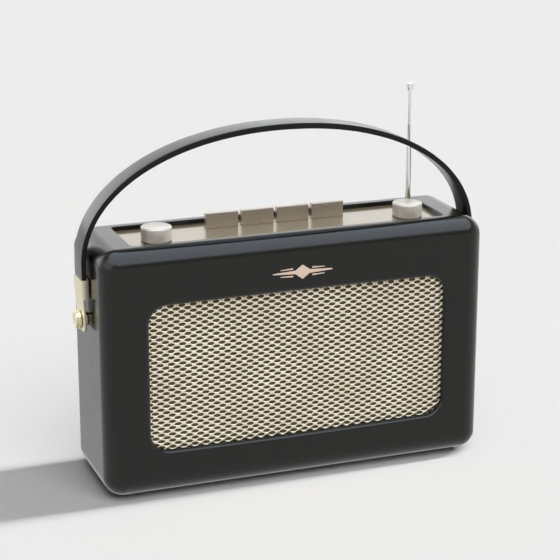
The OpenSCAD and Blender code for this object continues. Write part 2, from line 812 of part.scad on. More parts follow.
module dc_socket() {
    color([0.12, 0.12, 0.12]) {
        difference() {
            union() {
                rod_y(dc_x, socket_z, 4.9, rear_in, collar_out);
                block(dc_x - 5.5, dc_x + 5.5, rear_in - 9, rear_in, socket_z - 5.5, socket_z + 5.5);
            }
            rod_y(dc_x, socket_z, 2.8, collar_out - 9.5, collar_out + through);
        }
        rod_y(dc_x, socket_z, 1, collar_out - 10, collar_out - 0.8);
    }
}

cabinet_shell();
base_plate();
base_screws();
feet();
grille_mesh();
baffle_board();
baffle_screws();
emblem();
control_chassis();
chassis_screws();
control_plate();
volume_knob();
volume_shaft();
volume_control();
tuning_knob();
tuning_shaft();
tuning_control();
control_nuts();
key_1();
key_2();
key_3();
key_4();
key_spring_1();
key_spring_2();
key_spring_3();
key_spring_4();
key_switch_board();
key_switches();
aerial_bush();
aerial_tube_1();
aerial_tube_2();
aerial_rod();
aerial_tip();
handle_strap();
handle_fitting_left();
handle_fitting_right();
pivot_studs();
pivot_washers();
pivot_inserts();
speaker_basket();
speaker_magnet();
speaker_cone();
speaker_surround();
speaker_screws();
main_board();
board_standoffs();
tuner_can();
capacitors();
ferrite_rod();
ferrite_coil();
ferrite_brackets();
rear_panel();
rear_panel_screws();
battery_box();
battery_cells();
battery_contacts();
battery_door();
door_pin();
headphone_socket();
dc_socket();
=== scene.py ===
import json
import math

import bmesh
import bpy
import numpy as np
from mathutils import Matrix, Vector


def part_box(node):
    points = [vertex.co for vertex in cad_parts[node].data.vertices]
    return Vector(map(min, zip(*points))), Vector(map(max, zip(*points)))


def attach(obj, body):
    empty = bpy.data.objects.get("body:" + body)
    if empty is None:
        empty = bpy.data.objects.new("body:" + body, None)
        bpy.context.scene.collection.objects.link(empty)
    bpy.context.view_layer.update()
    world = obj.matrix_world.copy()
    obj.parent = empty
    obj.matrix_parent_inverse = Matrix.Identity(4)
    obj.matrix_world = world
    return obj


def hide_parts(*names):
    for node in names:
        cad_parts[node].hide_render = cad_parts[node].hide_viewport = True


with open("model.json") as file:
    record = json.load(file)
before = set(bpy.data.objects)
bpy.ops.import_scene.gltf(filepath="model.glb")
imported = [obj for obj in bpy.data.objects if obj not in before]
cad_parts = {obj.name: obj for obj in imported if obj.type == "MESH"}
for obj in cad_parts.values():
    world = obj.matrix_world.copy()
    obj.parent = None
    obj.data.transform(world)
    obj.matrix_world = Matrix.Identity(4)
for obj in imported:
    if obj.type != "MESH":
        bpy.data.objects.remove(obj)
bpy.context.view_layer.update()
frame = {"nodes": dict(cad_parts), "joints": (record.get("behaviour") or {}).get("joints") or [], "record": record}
MM = 0.001


def box_mm(node):
    """A CAD node's lowest and highest corners, in millimetres."""
    return [[round(v / MM, 2) for v in corner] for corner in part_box(node)]


def centre_mm(node):
    """The middle of a CAD node's box, in millimetres."""
    return [round((a + b) / 2 / MM, 1) for a, b in zip(*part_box(node))]


# ---------------------------------------------------------------- dimensions (mm)
CASE_LOW, CASE_HIGH = box_mm("cabinet_shell")
W, D, H = (round(b - a, 2) for a, b in zip(CASE_LOW, CASE_HIGH))
TOP_Z = CASE_HIGH[2]
MID_Z = CASE_LOW[2] + H / 2
CORNER, EDGE, WALL = 12.0, 14.0, 4.0    # radii of the body's corners and long edges; wall thickness
PIVOT_Z = round(next(j for j in frame["joints"] if j["name"] == "handle_swing")["pos_m"][2] / MM, 2)
PLATE_HIGH = box_mm("control_plate")[1]
VOLUME_AT, TUNING_AT = (centre_mm(node)[:2] for node in ("volume_knob", "tuning_knob"))
GRILLE_LAP = 2.5                        # how far the sheet runs past the opening
GRILLE_HIGH, GRILLE_Z = box_mm("grille_mesh")[1], centre_mm("grille_mesh")[2]
GRILLE_W = GRILLE_HIGH[0] - GRILLE_LAP
GRILLE_H = round(GRILLE_HIGH[2] - GRILLE_Z, 2) - GRILLE_LAP
GRILLE_R = 11.5
LEG_TOP, BOW = 144.0, 2.1               # where the strap's arch starts; its squareness, 2 an ellipse
REAR_IN_LOW, REAR_HIGH = box_mm("rear_panel")

scene = bpy.context.scene
scene.view_settings.view_transform = "Standard"
scene.view_settings.look = "None"
scene.view_settings.exposure = 0.0
scene.view_settings.gamma = 1.0


# ---------------------------------------------------------------- camera
def make_camera():
    data = bpy.data.cameras.new("camera")
    data.sensor_width = 36.0
    data.lens = 117.55
    data.clip_start, data.clip_end = 0.01, 100.0
    cam = bpy.data.objects.new("camera", data)
    scene.collection.objects.link(cam)
    cam.location = Vector((-0.3854, -1.0345, 0.4555))
    target = Vector((0.00043, 0.0, 0.11964))
    cam.rotation_mode = "QUATERNION"
    cam.rotation_quaternion = (target - cam.location).to_track_quat("-Z", "Y")
    scene.camera = cam


make_camera()


# ---------------------------------------------------------------- material tools
class Nodes:
    """A short way to write node materials."""

    def __init__(self, name):
        self.mat = bpy.data.materials.new(name)
        self.mat.use_nodes = True
        self.tree = self.mat.node_tree
        self.shader = self.tree.nodes["Principled BSDF"]
        coord = self.tree.nodes.new("ShaderNodeTexCoord")
        self.place = coord.outputs["Object"]

    def node(self, kind, **inputs):
        n = self.tree.nodes.new(kind)
        for k, v in inputs.items():
            self.put(n.inputs[k.replace("_", " ")], v)
        return n

    def put(self, socket, value):
        if isinstance(value, bpy.types.NodeSocket):
            self.tree.links.new(value, socket)
        else:
            socket.default_value = value

    def set(self, **inputs):
        for k, v in inputs.items():
            self.put(self.shader.inputs[k.replace("_", " ")], v)

    def scaled(self, x, y, z):
        m = self.tree.nodes.new("ShaderNodeMapping")
        self.put(m.inputs["Vector"], self.place)
        m.inputs["Scale"].default_value = (x, y, z)
        return m.outputs["Vector"]

    def noise(self, scale, detail=3.0, rough=0.55, vector=None, distortion=0.0):
        n = self.node("ShaderNodeTexNoise", Scale=scale, Detail=detail, Roughness=rough,
                      Distortion=distortion, Vector=vector or self.place)
        return n.outputs["Fac"]

    def cells(self, scale):
        n = self.tree.nodes.new("ShaderNodeTexVoronoi")
        n.feature = "DISTANCE_TO_EDGE"
        n.inputs["Scale"].default_value = scale
        self.put(n.inputs["Vector"], self.place)
        return n.outputs["Distance"]

    def ramp(self, fac, stops):
        n = self.tree.nodes.new("ShaderNodeValToRGB")
        self.put(n.inputs["Fac"], fac)
        e = n.color_ramp.elements
        while len(e) < len(stops):
            e.new(0.5)
        for el, (pos, col) in zip(e, stops):
            el.position = pos
            el.color = (*col, 1.0)
        return n.outputs["Color"]

    def span(self, fac, lo, hi, from_lo=0.3, from_hi=0.7):
        n = self.tree.nodes.new("ShaderNodeMapRange")
        self.put(n.inputs["Value"], fac)
        n.inputs["From Min"].default_value = from_lo
        n.inputs["From Max"].default_value = from_hi
        n.inputs["To Min"].default_value = lo
        n.inputs["To Max"].default_value = hi
        return n.outputs["Result"]

    def calc(self, op, a, b=0.0):
        n = self.tree.nodes.new("ShaderNodeMath")
        n.operation = op
        self.put(n.inputs[0], a)
        self.put(n.inputs[1], b)
        return n.outputs["Value"]

    def bump(self, height, distance, strength=1.0, under=None):
        n = self.tree.nodes.new("ShaderNodeBump")
        n.inputs["Strength"].default_value = strength
        n.inputs["Distance"].default_value = distance
        self.put(n.inputs["Height"], height)
        if under is not None:
            self.put(n.inputs["Normal"], under)
        return n.outputs["Normal"]


def mix_dark(c, k):
    return tuple(max(0.0, v * k) for v in c)


def leather(name, colour, rough=(0.15, 0.21), scale=1150.0, ior=1.45):
    m = Nodes(name)
    pores = m.cells(scale)
    fine = m.noise(scale * 2.2, 3.0)
    broad = m.noise(16.0, 3.0)
    creases = m.span(pores, 0.0, 1.0, 0.0, 0.25)
    height = m.calc("ADD", m.calc("MULTIPLY", creases, 0.8), m.calc("MULTIPLY", fine, 0.5))
    m.set(Base_Color=m.ramp(broad, [(0.3, mix_dark(colour, 0.8)), (0.7, mix_dark(colour, 1.25))]),
          Roughness=m.span(m.noise(55.0, 4.0), rough[0], rough[1]), IOR=ior,
          Normal=m.bump(height, 0.00001, 0.4, m.bump(broad, 0.00005, 0.25)))
    return m.mat


def metal(name, colour, rough, stretch=None, bump=0.000004, tarnish=None):
    """Metal with a lathe-turned, brushed or plain finish."""
    m = Nodes(name)
    lines = m.noise(900.0, 4.0, vector=m.scaled(*stretch)) if stretch else m.noise(700.0, 4.0)
    broad = m.noise(28.0, 4.0)
    low = tarnish or mix_dark(colour, 1 - 0.08)
    m.set(Base_Color=m.ramp(broad, [(0.28, low), (0.62, colour)]), Metallic=1.0,
          Roughness=m.span(lines, rough[0], rough[1]), Normal=m.bump(lines, bump, 0.6))
    return m.mat


def plastic(name, colour, rough=(0.4, 0.55), bump=0.00003, scale=1600.0):
    m = Nodes(name)
    spark = m.noise(scale, 3.0)
    broad = m.noise(22.0, 3.0)
    m.set(Base_Color=m.ramp(broad, [(0.3, mix_dark(colour, 0.85)), (0.7, mix_dark(colour, 1.15))]),
          Roughness=m.span(m.noise(80.0, 3.0), rough[0], rough[1]), IOR=1.5,
          Normal=m.bump(spark, bump, 0.6))
    return m.mat


def fibre(name, colour, scale=900.0):
    """Paper, hardboard and other fibrous sheets."""
    m = Nodes(name)
    strands = m.noise(scale, 6.0, 0.7, vector=m.scaled(1, 1, 1), distortion=0.6)
    tones = [(0.3, mix_dark(colour, 1 - 0.35)), (0.7, mix_dark(colour, 1 + 0.35))]
    m.set(Base_Color=m.ramp(strands, tones),
          Roughness=m.span(strands, 0.75, 0.95), Normal=m.bump(strands, 0.00008, 0.8))
    return m.mat


def circuit_board(name):
    m = Nodes(name)
    cloth = m.noise(500.0, 3.0, vector=m.scaled(1, 1, 4))
    tracks = m.cells(160.0)
    m.set(Base_Color=m.ramp(tracks, [(0.05, (0.52, 0.24, 0.08)), (0.09, (0.34, 0.20, 0.07))]),
          Roughness=m.span(cloth, 0.35, 0.5), Normal=m.bump(cloth, 0.00002, 0.5))
    return m.mat


def wound(name, colour, pitch, axis):
    """Wire wound side by side round an axis."""
    m = Nodes(name)
    n = m.tree.nodes.new("ShaderNodeTexWave")
    n.wave_type = "BANDS"
    n.bands_direction = axis
    n.inputs["Scale"].default_value = 0.314 / pitch
    m.put(n.inputs["Vector"], m.place)
    # the low ends of the bands, the grooves between the turns, are painted shade: the copper is darkened to 0.3 of
    # its colour there
    m.set(Base_Color=m.ramp(n.outputs["Fac"], [(0.1, mix_dark(colour, 0.3)), (0.6, colour)]),
          Metallic=0.7, Roughness=m.span(n.outputs["Fac"], 0.3, 0.5, 0.0, 1.0),
          Normal=m.bump(n.outputs["Fac"], 0.0001, 0.8))
    return m.mat


def lacquered_brass(name, colour, rough):
    """Brushed brass under a clear lacquer."""
    m = Nodes(name)
    lines = m.noise(900.0, 4.0, vector=m.scaled(0.03, 1, 1))
    cloud = m.noise(24.0, 3.0)
    tones = [(0.3, mix_dark(colour, 0.95)), (0.7, mix_dark(colour, 1.04))]
    m.set(Base_Color=m.ramp(cloud, tones), Metallic=1.0,
          Roughness=m.span(lines, rough[0], rough[1]), Normal=m.bump(lines, 0.000003, 0.5))
    m.set(Coat_Weight=1.0, Coat_Roughness=0.09, Coat_IOR=1.5)
    return m.mat


def pearl_metal(name, colour, rough, centre):
    """Satin metal faced on a lathe, with fine rings round the piece's own axis."""
    m = Nodes(name)
    shift = m.tree.nodes.new("ShaderNodeMapping")
    m.put(shift.inputs["Vector"], m.place)
    shift.inputs["Location"].default_value = (-centre[0], -centre[1], 0.0)
    rings = m.tree.nodes.new("ShaderNodeTexWave")
    rings.wave_type, rings.rings_direction = "RINGS", "Z"
    rings.inputs["Scale"].default_value = 0.314 / 0.0004    # rings 0.4 mm apart
    rings.inputs["Distortion"].default_value = 0.4
    m.put(rings.inputs["Vector"], shift.outputs["Vector"])
    broad = m.noise(60.0, 3.0)
    m.set(Base_Color=m.ramp(broad, [(0.3, mix_dark(colour, 0.96)), (0.7, colour)]), Metallic=0.45,
          Roughness=m.span(rings.outputs["Fac"], rough[0], rough[1], 0.0, 1.0),
          Normal=m.bump(rings.outputs["Fac"], 0.0000015, 0.5))
    return m.mat


KNOB_COLOUR = (0.68, 0.65, 0.60)
LOOK = {
    "leather": leather("leathercloth", (0.0010, 0.0007, 0.0001)),
    "strap": leather("strap_leather", (0.0030, 0.0030, 0.0028), rough=(0.20, 0.27), scale=1300.0, ior=1.55),
    "strap_edge": leather("strap_edge", (0.0030, 0.0030, 0.0028), rough=(0.45, 0.60), scale=1700.0, ior=1.33),
    "plate_brass": lacquered_brass("plate_brass", (0.30, 0.24, 0.135), (0.42, 0.50)),
    "fitting_brass": metal("fitting_brass", (0.80, 0.74, 0.54), (0.26, 0.34), bump=0.000002),
    "mesh_metal": metal("mesh_metal", (0.92, 0.85, 0.70), (0.26, 0.36), tarnish=(0.80, 0.72, 0.56),
                        bump=0.000002),
    # a dark brown fibre sheet that closes the grille's holes: painted shade standing in for the dim depth behind
    # the strands
    "hole_shade_sheet": fibre("hole_shade_sheet", (0.085, 0.062, 0.030), 1400.0),
    "emblem_metal": metal("emblem_metal", (0.84, 0.66, 0.54), (0.14, 0.24)),
    "knob_left": pearl_metal("knob_left", KNOB_COLOUR, (0.32, 0.40), [v * MM for v in VOLUME_AT]),
    "knob_right": pearl_metal("knob_right", KNOB_COLOUR, (0.32, 0.40), [v * MM for v in TUNING_AT]),
    "key_metal": metal("key_metal", (0.58, 0.51, 0.435), (0.27, 0.31), stretch=(0.05, 1, 1), bump=0.0000007),
    "chrome": metal("chrome", (0.86, 0.85, 0.83), (0.08, 0.14), stretch=(1, 1, 0.05)),
    "steel": metal("steel", (0.60, 0.60, 0.61), (0.28, 0.42)),
    "zinc": metal("zinc", (0.58, 0.59, 0.60), (0.38, 0.5)),
    "basket": plastic("basket_paint", (0.02, 0.02, 0.022), (0.35, 0.5)),
    "black_plastic": plastic("black_plastic", (0.012, 0.012, 0.012), (0.42, 0.55)),
    "pale_plastic": plastic("pale_plastic", (0.62, 0.60, 0.52), (0.4, 0.5)),
    "rubber": plastic("rubber", (0.014, 0.014, 0.014), (0.7, 0.85), 0.00006, 900.0),
    "board": circuit_board("circuit_board"),
    "hardboard": fibre("hardboard", (0.030, 0.024, 0.018)),
    "paper": fibre("cone_paper", (0.030, 0.028, 0.026), 600.0),
    "ferrite": plastic("ferrite", (0.035, 0.035, 0.037), (0.5, 0.65), 0.00005, 700.0),
    "copper": wound("copper_wire", (0.70, 0.32, 0.16), 0.0007, "X"),
    "cell": plastic("cell_sleeve", (0.16, 0.06, 0.02), (0.22, 0.32), 0.00001, 300.0),
    "capacitor": plastic("capacitor_sleeve", (0.012, 0.02, 0.06), (0.3, 0.4), 0.00001, 300.0),
}
SLOT_LOOK = {
    "leather": "leather", "brass": "fitting_brass", "grille_metal": "mesh_metal",
    "emblem_metal": "emblem_metal", "knob_metal": "knob_left", "key_metal": "key_metal",
    "black_plastic": "black_plastic", "rubber": "rubber", "steel": "steel", "painted_steel": "basket",
    "zinc": "zinc", "board": "board", "hardboard": "hardboard", "chrome": "chrome", "paper": "paper",
    "ferrite": "ferrite", "copper": "copper", "pale_plastic": "pale_plastic", "cell_jacket": "cell",
    "capacitor_sleeve": "capacitor",
}
NODE_LOOK = {"control_plate": "plate_brass"}


# ---------------------------------------------------------------- mesh tools
def new_object(name, verts, faces, look, smooth_deg=35.0):
    """An object from points in millimetres."""
    mesh = bpy.data.meshes.new(name)
    mesh.from_pydata([tuple(c * MM for c in v) for v in verts], [], faces)
    mesh.update()
    obj = bpy.data.objects.new(name, mesh)
    scene.collection.objects.link(obj)
    bm = bmesh.new()
    bm.from_mesh(mesh)
    bmesh.ops.recalc_face_normals(bm, faces=bm.faces)
    bm.to_mesh(mesh)
    bm.free()
    smooth(obj, smooth_deg)
    if look:
        mesh.materials.append(LOOK[look])
    return obj


def smooth(obj, degrees):
    for p in obj.data.polygons:
        p.use_smooth = True
    obj.data.set_sharp_from_angle(angle=math.radians(degrees))


def loft(rings):
    """Points and faces of a solid through closed rings of the same length, capped at both ends."""
    verts = [tuple(p) for r in rings for p in r]
    n, faces = len(rings[0]), []
    for i in range(len(rings) - 1):
        for k in range(n):
            a, b = i * n + k, i * n + (k + 1) % n
            faces.append((a, b, b + n, a + n))
    faces.append(tuple(reversed(range(n))))
    faces.append(tuple(range((len(rings) - 1) * n, len(rings) * n)))
    return verts, faces


def circle(r, steps):
    """Outline of a circle, anticlockwise."""
    return [(r * math.cos(2 * math.pi * k / steps), r * math.sin(2 * math.pi * k / steps))
            for k in range(steps)]


def rounded_rect(hw, hh, r, steps=16):
    """Outline of a rounded rectangle, anticlockwise."""
    pts = []
    for cx, cy, start in ((1, 1, 0), (-1, 1, 90), (-1, -1, 180), (1, -1, 270)):
        for k in range(steps + 1):
            a = math.radians(start + 90.0 * k / steps)
            pts.append((cx * (hw - r) + r * math.cos(a), cy * (hh - r) + r * math.sin(a)))
    return pts


def revolve(profile, place, steps):
    """A closed ring or solid from (radius, along) points; place maps (u, v, along) to space."""
    verts, faces, n = [], [], len(profile)
    for k in range(steps):
        a = 2 * math.pi * k / steps
        for r, t in profile:
            verts.append(place(r * math.cos(a), r * math.sin(a), t))
    for k in range(steps):
        for j in range(n):
            a, b = k * n + j, k * n + (j + 1) % n
            c, d = ((k + 1) % steps) * n + (j + 1) % n, ((k + 1) % steps) * n + j
            faces.append((a, b, c, d))
    return verts, faces


def weld(obj, distance=1e-6):
    bm = bmesh.new()
    bm.from_mesh(obj.data)
    bmesh.ops.remove_doubles(bm, verts=bm.verts, dist=distance)
    bmesh.ops.dissolve_degenerate(bm, edges=bm.edges, dist=1e-7)
    bmesh.ops.recalc_face_normals(bm, faces=bm.faces)
    bm.to_mesh(obj.data)
    bm.free()


def carve(obj, cutters, operation="DIFFERENCE"):
    """Applies booleans to obj and removes the cutters."""
    for c in cutters:
        m = obj.modifiers.new("cut", "BOOLEAN")
        m.operation, m.object, m.solver = operation, c, "EXACT"
    dg = bpy.context.evaluated_depsgraph_get()
    made = bpy.data.meshes.new_from_object(obj.evaluated_get(dg))
    obj.modifiers.clear()
    obj.data = made
    for c in cutters:
        bpy.data.objects.remove(c)


# ---------------------------------------------------------------- cabinet
def body_rings(inset, back_at=None):
    """Rings round the cabinet's body, pulled in by inset, from the front to the back."""
    corner, edge, half = CORNER - inset, EDGE - inset, D / 2 - inset
    depths = []
    steps = 18
    for k in range(steps, -1, -1):
        depths.append(-(half - edge + edge * math.sin(math.pi / 2 * k / steps)))
    depths += [-d for d in reversed(depths)]
    if back_at is not None:
        depths = [d for d in depths if d < back_at - 0.01] + [back_at]
    rings = []
    for y in depths:
        past = max(0.0, abs(y) - (half - edge))
        pull = edge - math.sqrt(max(0.0, edge * edge - past * past))
        r = max(corner - pull, 0.25)
        out = rounded_rect(W / 2 - inset - pull, H / 2 - inset - pull, r, 14)
        rings.append([(x, y, MID_Z + z) for x, z in out])
    return rings


def body_normal(p):
    """The outward direction of the cabinet's body at a point on it."""
    x, y, z = p[0] / MM, p[1] / MM, p[2] / MM - MID_Z
    past = max(0.0, abs(y) - (D / 2 - EDGE))
    if past > EDGE - 1e-3:
        return Vector((0.0, math.copysign(1.0, y), 0.0))
    cos_t = math.sqrt(max(0.0, 1 - (past / EDGE) ** 2))
    pull = EDGE * (1 - cos_t)
    r = max(CORNER - pull, 0.25)
    qx, qz = abs(x) - (W / 2 - pull - r), abs(z) - (H / 2 - pull - r)
    if qx > 1e-6 and qz > 1e-6:
        n = Vector((qx, qz)).normalized()
    else:
        n = Vector((1.0, 0.0)) if qx > qz else Vector((0.0, 1.0))
    return Vector((math.copysign(n.x, x) * cos_t, math.copysign(past / EDGE, y),
                   math.copysign(n.y, z) * cos_t))


def distance_to_body(p):
    """How far a point lies from the cabinet's outer surface, in millimetres."""
    x, y, z = abs(p[0]) / MM, abs(p[1]) / MM, abs(p[2] / MM - MID_Z)
    past = max(0.0, y - (D / 2 - EDGE))
    if past > EDGE + 1e-3:
        return past - EDGE
    pull = EDGE - math.sqrt(max(0.0, EDGE * EDGE - past * past))
    r = max(CORNER - pull, 0.25)
    qx, qz = x - (W / 2 - pull - r), z - (H / 2 - pull - r)
    if qx > 0 and qz > 0:
        gap = math.hypot(qx, qz) - r
    else:
        gap = max(qx, qz) - r
    flat = y - D / 2
    return min(abs(gap), abs(flat) if gap < 0.05 else 9.9)


def prism_x(outline, x0, x1, cz):
    """A cutter along X."""
    return new_object("cutter", *loft([[(x, a, cz + b) for a, b in outline] for x in (x0, x1)]), None)


def prism_y(name, outline, y0, y1, cz):
    return new_object(name, *loft([[(x, y, cz + z) for x, z in outline] for y in (y0, y1)]), None)


def prism_z(name, outline, z0, z1):
    return new_object(name, *loft([[(x, y, z) for x, y in outline] for z in (z0, z1)]), None)


def grille_outline():
    """The grille opening: a rounded rectangle whose long edges bow out slightly."""
    bulge = 0.7
    pts = rounded_rect(GRILLE_W, GRILLE_H - bulge / 2, GRILLE_R, 20)
    dense = []
    for i, (x, z) in enumerate(pts):
        x2, z2 = pts[(i + 1) % len(pts)]
        n = 40 if abs(x2 - x) > 40 else 1
        for k in range(n):
            u = x + (x2 - x) * k / n
            v = z + (z2 - z) * k / n
            bow = bulge * (1 - (u / GRILLE_W) ** 2)
            dense.append((u, v + math.copysign(bow, v) * min(1.0, abs(v) / 40.0)))
    return dense


def make_cabinet():
    body = new_object("cabinet", *loft(body_rings(0.0)), "leather")
    cutters = [new_object("c0", *loft(body_rings(WALL, 33.6)), None)]
    cutters.append(prism_y("c1", grille_outline(), -D / 2 - 5, -D / 2 + 8, GRILLE_Z))
    around, gap, ledge = 0.2, 0.3, 9.0      # clearance of the plate and of the rear panel; rear ledge
    cutters.append(prism_z("c2", rounded_rect(PLATE_HIGH[0] + around, PLATE_HIGH[1] + around, 3.0, 8),
                           TOP_Z - WALL - 3, TOP_Z + 5))
    mid = (REAR_IN_LOW[2] + REAR_HIGH[2]) / 2
    half = (REAR_HIGH[2] - REAR_IN_LOW[2]) / 2
    cutters.append(prism_y("c3", rounded_rect(REAR_HIGH[0] - ledge, half - ledge, 4.0, 8),
                           30.0, D / 2 + 5, mid))
    cutters.append(prism_y("c4", rounded_rect(REAR_HIGH[0] + gap, half + gap, 6.3, 10),
                           REAR_IN_LOW[1], D / 2 + 5, mid))
    for side in (-1, 1):
        cutters.append(prism_x(circle(3.5, 40), side * (W / 2 - 6), side * (W / 2 + 2), PIVOT_Z))
    carve(body, cutters)
    weld(body, 2e-6)
    # the covering turns in over the rims of the openings
    bm = bmesh.new()
    bm.from_mesh(body.data)
    bm.normal_update()
    front_rim, rims = [], []
    for e in bm.edges:
        if len(e.link_faces) != 2:
            continue
        na, nb = (f.normal for f in e.link_faces)
        a, b = (v.co / MM for v in e.verts)
        if abs(na.dot(nb)) > 0.3:
            continue
        front = a.y < -D / 2 + 0.01 and b.y < -D / 2 + 0.01
        top = a.z > TOP_Z - 0.01 and b.z > TOP_Z - 0.01
        back = a.y > D / 2 - 0.01 and b.y > D / 2 - 0.01
        if front:
            front_rim.append(e)
        elif top or back:
            rims.append(e)
    bmesh.ops.bevel(bm, geom=front_rim, offset=3.3 * MM, segments=9, profile=0.5, affect="EDGES",
                    clamp_overlap=True)
    rims = [e for e in rims if e.is_valid]
    bmesh.ops.bevel(bm, geom=rims, offset=0.8 * MM, segments=5, profile=0.5, affect="EDGES",
                    clamp_overlap=True)
    bm.to_mesh(body.data)
    bm.free()
    smooth(body, 40.0)
    mesh = body.data
    normals = []
    for poly in mesh.polygons:
        c = poly.center
        on_body = distance_to_body(c) < 0.08 and body_normal(c).dot(poly.normal) > 0.985
        for li in poly.loop_indices:
            p = mesh.vertices[mesh.loops[li].vertex_index].co
            near = on_body and distance_to_body(p) < 0.08
            normals.append(tuple(body_normal(p)) if near else (0.0, 0.0, 0.0))
    mesh.normals_split_custom_set(normals)
    if not mesh.materials:
        mesh.materials.append(LOOK["leather"])
    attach(body, "cabinet")
    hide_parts("cabinet_shell")


make_cabinet()


# ---------------------------------------------------------------- grille
def make_grille():
    """Expanded metal: rhombic cells with a lens-shaped hole, ridges along the strands and
    broad bonds where the strands meet."""
    px, pz, k = 3.6, 4.1, 16
    hole_a, hole_b = 2.2, 1.0
    front, back = -D / 2 + WALL + 0.05, -D / 2 + WALL + 1.15
    verts, faces, floors, index, walls = [], [], [], {}, {}

    def point(x, y, z):
        key = (round(x, 3), round(y, 3), round(z, 3))
        if key not in index:
            index[key] = len(verts)
            verts.append((x, y, z))
        return index[key]

    def outside(x, z):
        qx = abs(x) - (GRILLE_W + GRILLE_LAP - GRILLE_R)
        qz = abs(z) - (GRILLE_H + GRILLE_LAP - GRILLE_R)
        return math.hypot(max(qx, 0), max(qz, 0)) + min(max(qx, qz), 0) - GRILLE_R

    corners = [(px, 0), (0, pz / 2), (-px, 0), (0, -pz / 2)]
    for i in range(-30, 31):
        for j in range(-15, 16):
            cx = i * px
            cz = (j + 0.5 + (0.5 if i % 2 else 0.0)) * pz
            if outside(cx, cz) > 0.6:
                continue
            rims = [[] for _ in range(6)]
            middle = point(cx, front + 1.0, GRILLE_Z + cz)
            for n in range(k):
                a, b = corners[n // 4], corners[(n // 4 + 1) % 4]
                t = (n % 4) / 4
                ox, oz = a[0] + (b[0] - a[0]) * t, a[1] + (b[1] - a[1]) * t
                # strands that rise to the right stand further out and lean down, the others lean up
                swell = math.sin(math.pi * t)
                dip = swell ** 1.5 * (0.50, 0.22)[n // 4 % 2]
                tilt = swell * (-0.20, 0.09, 0.20, -0.09)[n // 4]
                ang = 2 * math.pi * n / k
                hx, hz = hole_a * math.cos(ang), hole_b * math.sin(ang)
                # from the cell's outline in to its hole: share of the way out, and depth
                path = ((1.0, front + dip), (0.70, front + dip + 0.03 + tilt * 0.5),
                        (0.36, front + dip + 0.09 + tilt),
                        (0.12, front + dip * 0.9 + 0.28 + tilt * 0.6), (0.0, front + 0.95))
                for r, (s, y) in enumerate(path):
                    rims[r].append(point(cx + hx + (ox - hx) * s, y, GRILLE_Z + cz + hz + (oz - hz) * s))
                rims[5].append(point(cx + ox, back, GRILLE_Z + cz + oz))
            for n in range(k):
                m = (n + 1) % k
                for r in range(4):
                    faces.append((rims[r][n], rims[r][m], rims[r + 1][m], rims[r + 1][n]))
                floors.append(len(faces))
                faces.append((rims[4][n], rims[4][m], middle))
                edge = (min(rims[5][n], rims[5][m]), max(rims[5][n], rims[5][m]))
                walls.setdefault(edge, []).append((rims[0][n], rims[0][m], rims[5][m], rims[5][n]))
            faces.append(tuple(reversed(rims[5])))
    for quads in walls.values():
        if len(quads) == 1:
            faces.append(quads[0])
    mesh = new_object("grille", verts, faces, "mesh_metal", 60.0)
    # the floors of the holes carry painted shade: a flat dark brown sheet in place of the shaded depth behind the
    # mesh
    mesh.data.materials.append(LOOK["hole_shade_sheet"])
    for i in floors:
        mesh.data.polygons[i].material_index = 1
    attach(mesh, "cabinet")
    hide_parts("grille_mesh")


make_grille()


# ---------------------------------------------------------------- handle
SIDE_THICK, TOP_THICK = 3.0, 3.6        # the strap's thickness at its legs and at its crown


def strap_section(out, inn):
    """One cross-section of the strap: rounded edges and a faintly crowned face."""
    hw, steps = 8.5, 5
    r = 0.3
    thick = math.dist(out, inn)
    ux, uz = (out[0] - inn[0]) / thick, (out[1] - inn[1]) / thick
    pts = []
    for cy, cs, start in ((1, 1, 0), (-1, 1, 90), (-1, 0, 180), (1, 0, 270)):
        for k in range(steps + 1):
            t = math.radians(start + 90.0 * k / steps)
            y = cy * (hw - r) + r * math.cos(t)
            s = (thick - r if cs else r) + r * math.sin(t)
            pts.append((y, s))
        if start == 0:
            for m in range(1, 8):
                y = (hw - r) * (1 - m / 4.0)
                pts.append((y, thick + 0.12 * (1 - (y / (hw - r)) ** 2)))
    return [(inn[0] + ux * s, y, inn[1] + uz * s) for y, s in pts]


def make_strap():
    low, high = box_mm("handle_strap")
    out_x, out_top, foot = high[0], high[2], low[2]
    in_x, in_top = round(out_x - SIDE_THICK, 2), round(out_top - TOP_THICK, 2)

    def arch(degrees, half, top):
        """A point on an arch a little squarer than an ellipse."""
        c, v = math.cos(math.radians(degrees)), math.sin(math.radians(degrees))
        return (math.copysign(half * abs(c) ** (2 / BOW), c),
                LEG_TOP + (top - LEG_TOP) * max(v, 0.0) ** (2 / BOW))

    rings = [strap_section((out_x, z), (in_x, z)) for z in np.linspace(foot, LEG_TOP, 6)[:-1]]
    rings += [strap_section(arch(a, out_x, out_top), arch(a, in_x, in_top)) for a in range(181)]
    rings += [strap_section((-out_x, z), (-in_x, z)) for z in np.linspace(LEG_TOP, foot, 6)[1:]]
    strap = new_object("strap", *loft(rings), "strap", 40.0)
    strap.data.materials.append(LOOK["strap_edge"])
    for p in strap.data.polygons:
        if abs(p.center.y) > 8.25 * MM:
            p.material_index = 1
    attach(strap, "handle")
    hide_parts("handle_strap")


make_strap()


